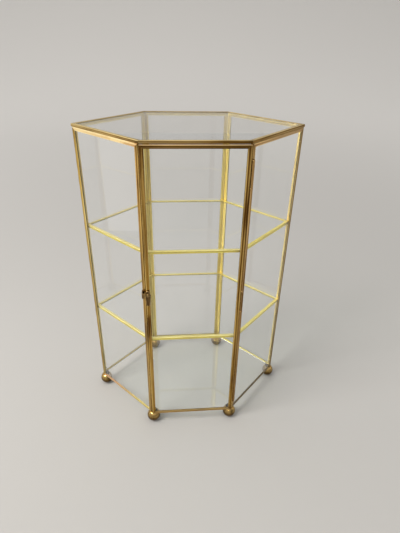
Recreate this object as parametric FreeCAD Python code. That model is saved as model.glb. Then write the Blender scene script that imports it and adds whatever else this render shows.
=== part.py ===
import FreeCAD, Part
import math
import os

# Hexagonal tabletop curio cabinet: clear panes edged in brass channel, standing on six ball feet.
# Millimetres. +Z is up and the door faces -Y. The origin is on the floor, under the middle of the
# overall depth, so the plan is first drawn about its own centre and then moved back a little.

Vector = FreeCAD.Vector
UP = Vector(0, 0, 1)

# Wall panels
panel_width = 84.5
wall_height = 288.0
side_angle = 46.5  # degrees between a side wall and the front

# Glass, and the brass channel round every pane
pane_thickness = 1.8
pane_side_gap = 0.05
pane_edge_gap = 0.2
rail_face = 2.9
stile_face = 3.5
channel_sheet = 0.35
channel_edge_chamfer = 0.3
mitre_gap = 0.03  # along the length, at each end

# Top and shelves, and the base pane that lies on the feet inside the walls
top_inset = 0.4
base_gap = 0.3
shelf_gap = 0.3
lower_shelf_top = 101.5
upper_shelf_top = 196.5

# Lugs under the shelf corners
lug_width = 2.3
lug_sheet = 0.6
lug_drop = 3.5
lug_ledge = 2.4

# Solder in the outer grooves between walls
seam_bulge = 0.7
seam_end_gap = 1.0

# Ball feet
foot_diameter = 14.0
foot_neck_diameter = 7.0
foot_neck_height = 0.3
foot_floor_diameter = 4.0
foot_inset = 1.0

# Door, which lies over the front ends of the side walls
door_side_reveal = 1.1
door_back_gap = 0.3
door_head_gap = 0.1
door_floor_gap = 0.6

# Hinge of a rod through tubes on the door and knuckles on the right post
hinge_tube_diameter = 2.4
hinge_rod_diameter = 1.2
hinge_bore_clearance = 0.05
hinge_side_gap = 0.5
hinge_end_gap = 0.15
hinge_web = 1.4
hinge_leaf_sheet = 0.6
hinge_leaf_margin = 0.6
hinge_knuckle_length = 22.0
hinge_end_set = 12.0
hinge_rod_head_diameter = 2.2
hinge_rod_head_height = 0.7
hinge_rod_tail = 0.8

# Turning latch on the door's left stile, and its keeper on the left post
latch_height = 155.0
latch_sheet = 0.8
latch_hub_radius = 2.5
latch_tip_radius = 2.0
latch_tip_reach = 4.7
latch_thumb_radius = 1.9
latch_thumb_reach = 11.5
latch_play = 0.05
rivet_diameter = 1.6
rivet_shoulder_diameter = 2.8
rivet_shoulder = 0.3
rivet_head_diameter = 3.4
rivet_head_height = 0.8
keeper_sheet = 0.6
keeper_height = 5.0
keeper_gap = 0.35
keeper_foot_set = 0.6
keeper_lip_set = 1.0

# Channel as thick as the glass, its clearance and its own two walls
channel_depth = pane_thickness + 2 * (pane_side_gap + channel_sheet)

# Heights above the floor
foot_radius = foot_diameter / 2
foot_centre_height = math.sqrt(foot_radius**2 - (foot_floor_diameter / 2) ** 2)
foot_neck_bottom = foot_centre_height + math.sqrt(foot_radius**2 - (foot_neck_diameter / 2) ** 2)
wall_bottom = foot_neck_bottom + foot_neck_height
wall_top = wall_bottom + wall_height
door_bottom = wall_bottom + door_floor_gap
door_top = wall_top - door_head_gap

# Plan of the walls' inner faces, anticlockwise from the front left corner
angle = math.radians(side_angle)
half_front = panel_width / 2
half_depth = panel_width * math.sin(angle)
half_width = half_front + panel_width * math.cos(angle)
FRONT_LEFT, FRONT_RIGHT, RIGHT, REAR_RIGHT, REAR_LEFT, LEFT = range(6)
inner_plan = [
    Vector(-half_front, -half_depth, 0),
    Vector(half_front, -half_depth, 0),
    Vector(half_width, 0, 0),
    Vector(half_front, half_depth, 0),
    Vector(-half_front, half_depth, 0),
    Vector(-half_width, 0, 0),
]


def direction(start, end):
    """Unit vector from one point to another."""
    line = end - start
    return line.normalize()


def outward(corner):
    """Outward normal of the wall that runs from a plan corner to the next one."""
    return direction(inner_plan[corner], inner_plan[(corner + 1) % len(inner_plan)]).cross(UP)


# The side walls' front outer edges, where the hinge and the keeper are soldered
right_post_edge = inner_plan[FRONT_RIGHT] + outward(FRONT_RIGHT) * channel_depth
left_post_edge = inner_plan[FRONT_LEFT] + outward(LEFT) * channel_depth

# Door and hinge axis: the barrel clears the door's edge and the post's face by one gap
door_width = 2 * (right_post_edge.x - door_side_reveal)
door_back_y = right_post_edge.y - door_back_gap
door_face_y = door_back_y - channel_depth
hinge_radius = hinge_tube_diameter / 2
hinge_bore_radius = hinge_rod_diameter / 2 + hinge_bore_clearance
hinge_x = door_width / 2 + hinge_side_gap + hinge_radius
post_normal = outward(FRONT_RIGHT)
hinge_reach = hinge_radius + hinge_side_gap - (hinge_x - right_post_edge.x) * post_normal.x
hinge_axis = Vector(hinge_x, right_post_edge.y + hinge_reach / post_normal.y, 0)

# Latch pivot on the middle of the stile, and the planes of its plate and of the keeper's lip
latch_x = -door_width / 2 + stile_face / 2
latch_z = wall_bottom + latch_height
latch_back_y = door_face_y - rivet_shoulder - latch_play
latch_front_y = latch_back_y - latch_sheet
keeper_lip_y = latch_front_y - keeper_gap
rivet_head_y = latch_front_y - latch_play

# Depth centred on the origin
front_reach = max(-(keeper_lip_y - keeper_sheet), -(rivet_head_y - rivet_head_height))
back_reach = half_depth + max(channel_depth, foot_radius - foot_inset)
to_origin = Vector(0, (front_reach - back_reach) / 2, 0)


def moved_inward(corners, normal, distances):
    """A convex outline, anticlockwise about normal, with each side moved inward by its own distance."""
    moved = []
    for i, corner in enumerate(corners):
        before = normal.cross(direction(corners[i - 1], corner))
        after = normal.cross(direction(corner, corners[(i + 1) % len(corners)]))
        turn = before.dot(after)
        along_before = (distances[i - 1] - turn * distances[i]) / (1 - turn**2)
        along_after = (distances[i] - turn * distances[i - 1]) / (1 - turn**2)
        moved.append(corner + before * along_before + after * along_after)
    return moved


def plan_at(height, outset):
    """The cabinet's hexagon at a height, moved outwards from the walls' inner faces."""
    lifted = [corner + UP * height for corner in inner_plan]
    return moved_inward(lifted, UP, [-outset] * len(lifted))


def prism(corners, sweep):
    """A flat outline carried along a straight line."""
    return Part.Face(Part.makePolygon(corners + corners[:1])).extrude(sweep)


def channel_section(face):
    """U-section of a channel of that face: its slot opens towards +Y, its outer edges are chamfered."""
    side = channel_depth / 2
    slot = side - channel_sheet
    edge = channel_edge_chamfer
    return [
        Vector(0, edge, -side),
        Vector(0, face, -side),
        Vector(0, face, -slot),
        Vector(0, channel_sheet, -slot),
        Vector(0, channel_sheet, slot),
        Vector(0, face, slot),
        Vector(0, face, side),
        Vector(0, edge, side),
        Vector(0, 0, side - edge),
        Vector(0, 0, edge - side),
    ]


def channel_bar(outer_start, outer_end, inner_start, inner_end, normal, face):
    """One length of channel between two outlines of a frame, cut on the mitre at both ends."""
    along = direction(outer_start, outer_end)
    inward = normal.cross(along)
    length = (outer_end - outer_start).Length
    side = channel_depth / 2
    stock = prism(channel_section(face), Vector(length, 0, 0))
    mitred = prism(
        [
            Vector(mitre_gap, 0, -side),
            Vector(length - mitre_gap, 0, -side),
            Vector((inner_end - outer_start).dot(along) - mitre_gap, face, -side),
            Vector((inner_start - outer_start).dot(along) + mitre_gap, face, -side),
        ],
        Vector(0, 0, channel_depth),
    )
    bar = stock.common(mitred).Solids[0]
    bar.Placement = FreeCAD.Placement(outer_start, FreeCAD.Rotation(along, inward, normal, "XYZ"))
    return bar


def channel_frame(corners, normal, faces):
    """Mitred lengths of channel round an outline in the pane's middle plane, one for each side."""
    inner = moved_inward(corners, normal, faces)
    bars = []
    for i, face in enumerate(faces):
        after = (i + 1) % len(corners)
        bars.append(channel_bar(corners[i], corners[after], inner[i], inner[after], normal, face))
    return bars


def pane(corners, normal):
    """The glass inside such a frame, reaching into the slots."""
    outline = moved_inward(corners, normal, [channel_sheet + pane_edge_gap] * len(corners))
    lowest = [corner - normal * (pane_thickness / 2) for corner in outline]
    return prism(lowest, normal * pane_thickness)


def upright_outline(left, right, bottom, top):
    """Rectangle of a wall or door panel, anticlockwise from outside, over a line in plan."""
    return [left + UP * bottom, right + UP * bottom, right + UP * top, left + UP * top]


def wall_outline(corner):
    """Middle plane of the wall from a plan corner to the next one."""
    set_out = outward(corner) * (channel_depth / 2)
    left = inner_plan[corner] + set_out
    right = inner_plan[(corner + 1) % len(inner_plan)] + set_out
    return upright_outline(left, right, wall_bottom, wall_top)


def door_outline():
    """Middle plane of the door, in front of the side walls' ends."""
    middle_y = (door_back_y + door_face_y) / 2
    left = Vector(-door_width / 2, middle_y, 0)
    right = Vector(door_width / 2, middle_y, 0)
    return upright_outline(left, right, door_bottom, door_top)


def base_pane():
    """Plain pane between the walls, with its front edge brought forward to the back of the door."""
    distances = [base_gap] * len(inner_plan)
    distances[FRONT_LEFT] += half_depth + door_back_y
    outline = moved_inward([corner + UP * wall_bottom for corner in inner_plan], UP, distances)
    return prism(outline, UP * pane_thickness)


def corner_seam(corner):
    """Solder in the groove between two walls, with a rounded face."""
    reach = channel_depth - channel_edge_chamfer
    apex = inner_plan[corner] + UP * (wall_bottom + seam_end_gap)
    first = apex + outward(corner - 1) * reach
    last = apex + outward(corner) * reach
    middle = (first + last) * 0.5
    crest = middle + direction(apex, middle) * seam_bulge
    edges = [Part.LineSegment(apex, first), Part.Arc(first, crest, last), Part.LineSegment(last, apex)]
    section = Part.Face(Part.Wire([edge.toShape() for edge in edges]))
    return section.extrude(UP * (wall_height - 2 * seam_end_gap))


def shelf_lug(corner, towards, shelf_bottom):
    """Bent tab on the stile at a plan corner, in the wall towards another, its ledge under the shelf."""
    along = direction(inner_plan[corner], inner_plan[towards])
    inward = UP.cross(along)
    if inward.dot(inner_plan[corner]) > 0:
        inward = -inward
    start = inner_plan[corner] + along * ((stile_face - lug_width) / 2) + UP * shelf_bottom
    section = [
        start,
        start + inward * lug_ledge,
        start + inward * lug_ledge - UP * lug_sheet,
        start + inward * lug_sheet - UP * lug_sheet,
        start + inward * lug_sheet - UP * lug_drop,
        start - UP * lug_drop,
    ]
    return prism(section, along * lug_width)


def ball_foot(centre):
    """Brass ball, flat where it stands, on a short neck that is soldered under the frame."""
    lowest = -math.degrees(math.acos(foot_floor_diameter / foot_diameter))
    highest = math.degrees(math.acos(foot_neck_diameter / foot_diameter))
    ball = Part.makeSphere(foot_radius, centre + UP * foot_centre_height, UP, lowest, highest, 360)
    neck = Part.makeCylinder(foot_neck_diameter / 2, foot_neck_height, centre + UP * foot_neck_bottom, UP)
    return ball.fuse(neck).removeSplitter().Solids[0]


def barrel(bottom, length, radius):
    """Upright cylinder on the hinge axis."""
    return Part.makeCylinder(radius, length, hinge_axis + UP * bottom, UP)


def hinge_knuckle(bottom):
    """Knuckle rolled on a leaf that lies on the right post's outer face."""
    along = direction(inner_plan[FRONT_RIGHT], inner_plan[RIGHT])
    rolled = (hinge_axis - right_post_edge).dot(along)
    near = right_post_edge + along * rolled + UP * bottom
    far = right_post_edge + along * (stile_face - hinge_leaf_margin) + UP * bottom
    rise = post_normal * hinge_leaf_sheet
    leaf = prism([near, far, far + rise, near + rise], UP * hinge_knuckle_length)
    ring = barrel(bottom, hinge_knuckle_length, hinge_radius)
    bore = barrel(bottom, hinge_knuckle_length, hinge_bore_radius)
    return ring.fuse(leaf).cut(bore).Solids[0]


def hinge_tube(bottom, length):
    """Tube with the strip of solder that holds it to the door's edge."""
    web_start = Vector(door_width / 2, hinge_axis.y - hinge_web / 2, bottom)
    web = Part.makeBox(hinge_side_gap + hinge_radius, hinge_web, length, web_start)
    tube = barrel(bottom, length, hinge_radius).fuse(web)
    return tube.cut(barrel(bottom, length, hinge_bore_radius)).Solids[0]


def hinge_rod(bottom, top):
    """Rod through the whole hinge, with a head that rests on the highest knuckle."""
    shank = barrel(bottom - hinge_rod_tail, top - bottom + hinge_rod_tail, hinge_rod_diameter / 2)
    head = barrel(top, hinge_rod_head_height, hinge_rod_head_diameter / 2)
    return shank.fuse(head).removeSplitter().Solids[0]


def tapered_link(near_radius, far_radius, far_z):
    """Outline round two circles on the latch's middle line, the far one centred at far_z."""
    lean = math.asin((near_radius - far_radius) / abs(far_z))
    way = math.copysign(1, far_z)

    def on_circle(centre_z, radius, turn):
        height = latch_z + centre_z + way * radius * math.sin(turn)
        return Vector(latch_x + radius * math.cos(turn), latch_back_y, height)

    near_side = on_circle(0, near_radius, lean)
    far_side = on_circle(far_z, far_radius, lean)
    far_end = on_circle(far_z, far_radius, math.pi / 2)
    far_other = on_circle(far_z, far_radius, math.pi - lean)
    near_other = on_circle(0, near_radius, math.pi - lean)
    near_end = on_circle(0, near_radius, -math.pi / 2)
    edges = [
        Part.LineSegment(near_side, far_side),
        Part.Arc(far_side, far_end, far_other),
        Part.LineSegment(far_other, near_other),
        Part.Arc(near_other, near_end, near_side),
    ]
    outline = Part.Face(Part.Wire([edge.toShape() for edge in edges]))
    return outline.extrude(Vector(0, -latch_sheet, 0))


def latch_button():
    """Flat latch: a short arm that turns behind the keeper and a longer thumb piece that hangs."""
    pivot = Vector(latch_x, latch_back_y, latch_z)
    tip = tapered_link(latch_hub_radius, latch_tip_radius, latch_tip_reach - latch_tip_radius)
    thumb = tapered_link(latch_hub_radius, latch_thumb_radius, latch_thumb_radius - latch_thumb_reach)
    hole_radius = rivet_diameter / 2 + latch_play
    hole = Part.makeCylinder(hole_radius, latch_sheet, pivot, Vector(0, -1, 0))
    return tip.fuse(thumb).removeSplitter().cut(hole).Solids[0]


def latch_rivet():
    """Shouldered rivet soldered to the stile, with a domed head over the latch."""
    out = Vector(0, -1, 0)
    seat = Vector(latch_x, door_face_y, latch_z)
    head_seat = Vector(latch_x, rivet_head_y, latch_z)
    shoulder = Part.makeCylinder(rivet_shoulder_diameter / 2, rivet_shoulder, seat, out)
    neck = Part.makeCylinder(rivet_diameter / 2, door_face_y - rivet_head_y, seat, out)
    head_radius = rivet_head_diameter / 2
    dome_radius = (head_radius**2 + rivet_head_height**2) / (2 * rivet_head_height)
    dome_centre = head_seat - out * (dome_radius - rivet_head_height)
    disc = Part.makeCylinder(head_radius, rivet_head_height, head_seat, out)
    head = disc.common(Part.makeSphere(dome_radius, dome_centre))
    return shoulder.fuse([neck, head]).removeSplitter().Solids[0]


def latch_keeper():
    """Strip folded in plan: a foot on the left post, an arm past the latch's tip and a lip before it."""
    along = direction(inner_plan[FRONT_LEFT], inner_plan[LEFT])
    middle = keeper_sheet / 2
    arm_x = latch_x - latch_tip_reach - keeper_gap - middle
    foot_middle = left_post_edge + outward(LEFT) * middle
    fold = foot_middle + along * ((arm_x - foot_middle.x) / along.x)
    route = [
        foot_middle + along * keeper_foot_set,
        fold,
        Vector(arm_x, keeper_lip_y - middle, 0),
        Vector(-door_width / 2 - keeper_lip_set, keeper_lip_y - middle, 0),
    ]
    lowest = UP * (latch_z - keeper_height / 2)
    rise = UP * keeper_height
    pieces = []
    for start, end in zip(route, route[1:]):
        side = UP.cross(direction(start, end)) * middle
        outline = [start - side, end - side, end + side, start + side]
        pieces.append(prism([lowest + point for point in outline], rise))
    for bend in route[1:-1]:
        pieces.append(Part.makeCylinder(middle, keeper_height, lowest + bend, UP))
    return pieces[0].fuse(pieces[1:]).removeSplitter().Solids[0]


def save(name, solids):
    """Write one named piece, or one group of like pieces, at its place over the origin."""
    group = solids[0] if len(solids) == 1 else Part.makeCompound(solids)
    placed = group.translated(to_origin)
    placed.exportStep(f"parts/{name}.step")


def save_panel(name, outline, normal, right_stile, left_stile):
    """Write a panel's pane and its four lengths of channel, right and left as seen from outside."""
    save(f"{name}_pane", [pane(outline, normal)])
    bars = channel_frame(outline, normal, [rail_face, stile_face, rail_face, stile_face])
    for bar_name, bar in zip(["bottom_rail", right_stile, "top_rail", left_stile], bars):
        save(f"{name}_{bar_name}", [bar])


def save_tray(name, rim_name, height, outset):
    """Write a level hexagonal pane and the channel round it, centred at a height."""
    outline = plan_at(height, outset)
    save(f"{name}_pane", [pane(outline, UP)])
    save(f"{name}_{rim_name}", channel_frame(outline, UP, [rail_face] * len(outline)))


os.makedirs("parts", exist_ok=True)

walls = {
    "right_front_wall": (FRONT_RIGHT, "side_stile", "front_stile"),
    "right_rear_wall": (RIGHT, "rear_stile", "side_stile"),
    "back_wall": (REAR_RIGHT, "left_stile", "right_stile"),
    "left_rear_wall": (REAR_LEFT, "side_stile", "rear_stile"),
    "left_front_wall": (LEFT, "front_stile", "side_stile"),
}
for wall, (corner, right_stile, left_stile) in walls.items():
    save_panel(wall, wall_outline(corner), outward(corner), right_stile, left_stile)
save_panel("door", door_outline(), Vector(0, -1, 0), "hinge_stile", "latch_stile")

lug_places = [
    (FRONT_LEFT, LEFT),
    (LEFT, FRONT_LEFT),
    (FRONT_RIGHT, RIGHT),
    (RIGHT, FRONT_RIGHT),
    (REAR_LEFT, REAR_RIGHT),
    (REAR_RIGHT, REAR_LEFT),
]
half_channel = channel_depth / 2
save_tray("top", "rim", wall_top + half_channel, channel_depth - top_inset)
save("base_pane", [base_pane()])
for shelf, shelf_top in {"lower_shelf": lower_shelf_top, "upper_shelf": upper_shelf_top}.items():
    shelf_middle = wall_bottom + shelf_top - half_channel
    save_tray(shelf, "edging", shelf_middle, -shelf_gap)
    shelf_bottom = shelf_middle - half_channel
    save(f"{shelf}_lugs", [shelf_lug(corner, towards, shelf_bottom) for corner, towards in lug_places])

seams = {"right": RIGHT, "rear_right": REAR_RIGHT, "rear_left": REAR_LEFT, "left": LEFT}
for side, corner in seams.items():
    save(f"{side}_corner_seam", [corner_seam(corner)])

save("ball_feet", [ball_foot(place) for place in plan_at(0, -foot_inset)])

lower_knuckle = door_bottom + hinge_end_set
upper_knuckle = door_top - hinge_end_set - hinge_knuckle_length
middle_knuckle = (lower_knuckle + upper_knuckle) / 2
tube_length = middle_knuckle - lower_knuckle - hinge_knuckle_length - 2 * hinge_end_gap
save("hinge_lower_knuckle", [hinge_knuckle(lower_knuckle)])
save("hinge_middle_knuckle", [hinge_knuckle(middle_knuckle)])
save("hinge_upper_knuckle", [hinge_knuckle(upper_knuckle)])
save("hinge_lower_tube", [hinge_tube(lower_knuckle + hinge_knuckle_length + hinge_end_gap, tube_length)])
save("hinge_upper_tube", [hinge_tube(middle_knuckle + hinge_knuckle_length + hinge_end_gap, tube_length)])
save("hinge_rod", [hinge_rod(lower_knuckle, upper_knuckle + hinge_knuckle_length)])

save("latch_button", [latch_button()])
save("latch_rivet", [latch_rivet()])
save("latch_keeper", [latch_keeper()])

door_axis = hinge_axis + to_origin
print(f"door hinge axis at x {door_axis.x:.4f}, y {door_axis.y:.4f}")
print(f"latch pivot at x {latch_x:.4f}, y {latch_back_y + to_origin.y:.4f}, z {latch_z:.4f}")
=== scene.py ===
import math
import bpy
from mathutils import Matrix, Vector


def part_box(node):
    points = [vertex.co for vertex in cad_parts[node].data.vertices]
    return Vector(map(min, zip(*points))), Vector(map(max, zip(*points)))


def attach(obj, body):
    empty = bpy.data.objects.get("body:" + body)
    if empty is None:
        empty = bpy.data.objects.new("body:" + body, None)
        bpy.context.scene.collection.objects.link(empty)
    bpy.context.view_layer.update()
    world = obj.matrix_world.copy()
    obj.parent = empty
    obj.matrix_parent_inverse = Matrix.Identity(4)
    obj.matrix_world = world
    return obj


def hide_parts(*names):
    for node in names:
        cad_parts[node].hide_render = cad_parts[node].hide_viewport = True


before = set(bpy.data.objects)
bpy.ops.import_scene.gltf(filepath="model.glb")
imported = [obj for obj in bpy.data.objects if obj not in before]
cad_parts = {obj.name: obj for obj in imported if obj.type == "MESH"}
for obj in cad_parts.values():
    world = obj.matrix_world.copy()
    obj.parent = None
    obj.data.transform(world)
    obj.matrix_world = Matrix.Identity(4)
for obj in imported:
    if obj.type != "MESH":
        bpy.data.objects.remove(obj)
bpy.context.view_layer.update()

import zlib

import bpy
import numpy as np
from mathutils import Matrix, Vector

# Brass channel of the five fixed walls. Thin sheet is folded into a narrow U, cut on the mitre and
# pressed round the edges of each pane. Solder joins the corners, and each mitre shows a hairline.
MM = 0.001
rail_face = 2.9 * MM
stile_face = 3.5 * MM
channel_depth = 2.6 * MM
channel_sheet = 0.35 * MM
inner_fold = 0.2 * MM
outer_fold = 0.5 * MM
lip_dip = 0.12 * MM
lip_sheet = 0.2 * MM
mitre_gap = 0.03 * MM
web_to_glass = 0.55 * MM
bar_stations = 41
fold_points = 6
wave_count = 3
wave_turns = (1.5, 6.0)
wave_phase = 6.3
wave_thinning = 0.006
sharp_fold = math.radians(40)
sort_start = 0.2
joint_stain_reach = 4 * MM
uv_spread = 3.0
# Shares round the channel's profile that mix the brass from its body colour to its bright one, from
# a lip over the flank and fold to the web: high at the lips and folds, as wear and as painted
# highlights along them, and low over the flanks as painted shade. The slot inside is brightened.
slot_brightening = np.full(4, 0.7)
lip_to_web = np.array([1.0, 0.5, 0.1, 0.0, 0.2, 0.8, 1.0, 1.0, 1.0, 0.8, 0.4])
edge_rub_and_light = np.concatenate([lip_to_web, lip_to_web[::-1], slot_brightening])
post_flank = [0.1, 0.1, 0.2, 0.2, 0.1, 0.0, 0.0, 0.0, 0.1, 0.4, 1.0]
post_rub_and_light = np.concatenate([lip_to_web, post_flank, slot_brightening])
# This share rises along the bar, so that the bar is brighter towards one end.
brighter_to_one_end = np.clip(np.linspace(-1, 2, bar_stations), 0, 1)[:, None]
# On the front stiles the colour darkens towards the top by the square of the height, to this share
# at the top end.
stile_top_darkening = 1.5
relief_depth = 0.1 * MM
relief_strength = 0.3
cloud_roughness = 0.6
# A painted dark reflection across a front stile round one height: its reach up and down, and its
# strength.
dark_reflection_reach = 13 * MM
dark_reflection_depth = 2.4


def node_points(node):
    """The different corner points of a CAD node's mesh."""
    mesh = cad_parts[node].data
    flat = np.empty(len(mesh.vertices) * 3, dtype=np.float32)
    mesh.vertices.foreach_get("co", flat)
    return np.unique(flat.reshape(-1, 3).astype(float).round(7), axis=0)


def pane_outline(node, outside):
    """Corners of a pane's middle plane, anticlockwise from outside, and the direction out of it.
    The thin direction is the last axis of a singular value decomposition of the points about
    their centre. The corners are sorted by angle from a start that lies between two of them, and
    each is the mean of its two faces' points."""
    points = node_points(node)
    spread = points - points.mean(0)
    long_way, _, out = np.linalg.svd(spread)[2]
    out = out * np.sign(out @ outside)
    turn = np.arctan2(spread @ np.cross(out, long_way), spread @ long_way)
    order = np.argsort((turn + sort_start) % (2 * np.pi))
    return points[order].reshape(-1, 2, 3).mean(1), out


def unit(vectors):
    """Vectors at length one."""
    return vectors / np.linalg.norm(vectors, axis=-1, keepdims=True)


def moved_inward(corners, out, distances):
    """An outline with each side moved inward by its own distance: a corner moves along the inward
    normals of its two sides, by the weights that satisfy both distances at once."""
    after = np.cross(out, unit(np.roll(corners, -1, 0) - corners))
    before = np.roll(after, 1, 0)
    last = np.roll(distances, 1)
    turn = (before * after).sum(1)
    by_before = (last - turn * distances) / (1 - turn**2)
    by_after = (distances - turn * last) / (1 - turn**2)
    return corners + before * by_before[:, None] + after * by_after[:, None]


def ring_lengths(ring):
    """Distance round a closed ring at each of its points, and at the first point again."""
    return np.append(0, np.cumsum(np.linalg.norm(np.roll(ring, -1, 0) - ring, axis=1)))


def closed_grid(points, run, around, rubbed, joint, draw):
    """A grid of rings with its surface distances along and round, offset at random so that no two
    lengths show the same marks, and with its shares of rubbing and painted light and of joint stain
    and painted shade at every point."""
    offset = draw.uniform(0, uv_spread, 2)
    along = run[:, None] + offset[0]
    about = around[None, :] + offset[1]
    return {
        "points": points,
        "uv": np.stack(np.broadcast_arrays(along, about), -1),
        "rubbed": np.broadcast_to(rubbed, points.shape[:2]),
        "joint": np.broadcast_to(joint, points.shape[:2]),
    }


def channel_profile(face):
    """Section of the folded channel as distances in from the web and across. Each flank dips to the
    glass at its lip by a square law, and a quarter circle, rounder on the outside, turns it into
    the web. The slot's four corners close the ring, which starts with the inner flank."""
    half = channel_depth / 2
    fold = np.array([[inner_fold], [outer_fold]])
    rise = np.linspace(1, 0, fold_points)
    bend = np.linspace(0, np.pi / 2, fold_points)[1:]
    inward = np.concatenate([fold + (face - fold) * rise, fold * (1 - np.sin(bend))], 1)
    dipped = half - lip_dip * rise**2 + 0 * fold
    across = np.concatenate([dipped, half - fold * (1 - np.cos(bend))], 1)
    lip = half - lip_dip - lip_sheet
    slot = half - channel_sheet
    slot_inward = [face, channel_sheet, channel_sheet, face]
    inward = np.concatenate([inward[0], inward[1, ::-1], slot_inward])
    across = np.concatenate([-across[0], across[1, ::-1], [lip, slot, -slot, -lip]])
    return inward, across


def channel_bar(outer, inner, side, out, face, rubbed, draw):
    """One length of channel: the profile is carried from one mitre to the other, each of its points
    on the straight line between the two cuts, at stations that a cosine sets closer near the cuts.
    Three slow sine waves thin it by a few percent."""
    after = (side + 1) % len(outer)
    inward, across = channel_profile(face)
    length = np.linalg.norm(outer[after] - outer[side])
    way = (1 - np.cos(np.linspace(0, np.pi, bar_stations))) / 2
    way = mitre_gap / length + way * (1 - 2 * mitre_gap / length)
    share = (inward / face)[:, None]
    start = outer[side] + (inner[side] - outer[side]) * share
    end = outer[after] + (inner[after] - outer[after]) * share
    turns = draw.uniform(*wave_turns, wave_count)
    phases = draw.uniform(0, wave_phase, wave_count)
    waves = np.sin(2 * np.pi * way[:, None] * turns + phases).sum(1)
    thinned = across * (1 - wave_thinning * (waves + wave_count))[:, None]
    points = start + (end - start) * way[:, None, None] + out * thinned[..., None]
    near_joint = np.exp(-np.minimum(way, 1 - way) * length / joint_stain_reach)
    around = ring_lengths(np.stack([inward, across], 1))
    return closed_grid(points, way * length, around, rubbed, near_joint[:, None], draw)


def closed_grid_faces(points, looped):
    """Quads between neighbouring rings, with the grid places of their corners. The last ring meets
    the first again in a looped grid, and else one face covers each end ring. All are turned about
    if the volume that they enclose is negative."""
    rows, ring = points.shape[:2]
    row, place = np.mgrid[0 : rows - 1 + looped, 0:ring]
    corners = np.array([[0, 0], [0, 1], [1, 1], [1, 0]])
    quads = (np.stack([row, place], -1)[:, :, None, :] + corners).reshape(-1, 4, 2)
    flat = points.reshape(-1, 3)
    ids = quads[..., 0] % rows * ring + quads[..., 1] % ring
    around = np.arange(ring)
    ends = np.stack([around[::-1], around + (rows - 1) * ring])[: 0 if looped else 2]
    a, b, c, d = (flat[ids[:, i]] for i in range(4))
    volume = (np.cross(a, b) * c).sum() + (np.cross(a, c) * d).sum()
    rims = flat[ends]
    volume += (np.cross(rims[:, :1], rims) * np.roll(rims, -1, 1)).sum()
    return (quads, ids, ends) if volume > 0 else (quads[:, ::-1], ids[:, ::-1], ends[:, ::-1])


def grid_piece(name, grids, finish, body, nodes, looped=False):
    """One object from closed grids of points, in place of its CAD nodes. Its UV map holds metres
    along and round the piece, and two attributes hold rubbing with painted highlights and shade,
    and joint stain with painted shade."""
    points, faces, uvs, rubbed, joints = [], [], [], [], []
    first = 0
    for grid in grids:
        quads, ids, ends = closed_grid_faces(grid["points"], looped)
        ring = grid["points"].shape[1]
        points.append(grid["points"].reshape(-1, 3))
        faces += (ids + first).tolist() + (ends + first).tolist()
        uvs.append(grid["uv"][quads[..., 0], quads[..., 1]].reshape(-1, 2))
        uvs.append(grid["uv"][ends // ring, ends % ring].reshape(-1, 2))
        rubbed.append(grid["rubbed"].ravel())
        joints.append(grid["joint"].ravel())
        first += grid["points"].shape[0] * ring
    mesh = bpy.data.meshes.new(name)
    mesh.from_pydata(np.concatenate(points).tolist(), [], faces)
    run = np.concatenate(uvs).astype(np.float32)
    mesh.uv_layers.new(name="run").uv.foreach_set("vector", run.ravel())
    for title, values in (("rubbed", rubbed), ("joint", joints)):
        layer = mesh.attributes.new(title, "FLOAT", "POINT")
        layer.data.foreach_set("value", np.concatenate(values).astype(np.float32))
    mesh.shade_smooth()
    mesh.set_sharp_from_angle(angle=sharp_fold)
    mesh.materials.append(finish)
    piece = bpy.data.objects.new(name, mesh)
    bpy.context.scene.collection.objects.link(piece)
    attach(piece, body)
    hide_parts(*nodes)


def node_in(tree, kind, feeds, **settings):
    """A shader node with its settings, and each input linked from a socket or set to a value."""
    made = tree.nodes.new(kind)
    for key, value in settings.items():
        setattr(made, key, value)
    for key, value in feeds.items():
        if isinstance(value, bpy.types.NodeSocket):
            tree.links.new(value, made.inputs[key])
        else:
            made.inputs[key].default_value = value
    return made


def maths(tree, kind, first, second=0.0, clamp=False):
    """One calculation with sockets or numbers, such as a sum or a product."""
    feeds = {0: first, 1: second}
    return node_in(tree, "ShaderNodeMath", feeds, operation=kind, use_clamp=clamp).outputs[0]


def spread_of(tree, value, low, high):
    """A value spread smoothly from 0 at low to 1 at high."""
    feeds = {"Value": value, "From Min": low, "From Max": high}
    return node_in(tree, "ShaderNodeMapRange", feeds, interpolation_type="SMOOTHSTEP").outputs[0]


def colours_mixed(tree, share, first, second):
    """First colour going over to the second as the share goes from 0 to 1."""
    feeds = {0: share, 6: first, 7: second}
    return node_in(tree, "ShaderNodeMix", feeds, data_type="RGBA").outputs[2]


def cloud_of(tree, surface, stretch, detail):
    """Noise over the surface, stretched by three scales in noise cells a metre."""
    scaled = node_in(tree, "ShaderNodeMapping", {"Vector": surface, "Scale": stretch}).outputs[0]
    feeds = {"Vector": scaled, "Scale": 1.0, "Detail": detail, "Roughness": cloud_roughness}
    return node_in(tree, "ShaderNodeTexNoise", feeds).outputs[0]


def new_group(name, inputs, outputs):
    """A shader node group with named sockets, and its input and output sockets."""
    tree = bpy.data.node_groups.new(name, "ShaderNodeTree")
    for title, kind in inputs.items():
        tree.interface.new_socket(title, in_out="INPUT", socket_type=f"NodeSocket{kind}")
    for title, kind in outputs.items():
        tree.interface.new_socket(title, in_out="OUTPUT", socket_type=f"NodeSocket{kind}")
    return tree, tree.nodes.new("NodeGroupInput").outputs, tree.nodes.new("NodeGroupOutput").inputs


# Brass colour. The rubbed share and the long streaks mix the body colour towards the bright one,
# and joints, tarnish patches, specks and long dark lines mix it towards the stain colour. The
# rubbed share holds wear and painted highlights and shade, the streaks and lines are drawing marks
# and painted reflection lines, and on the front stiles the joint share also holds a painted dark
# reflection and a darkening towards the top.
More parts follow.
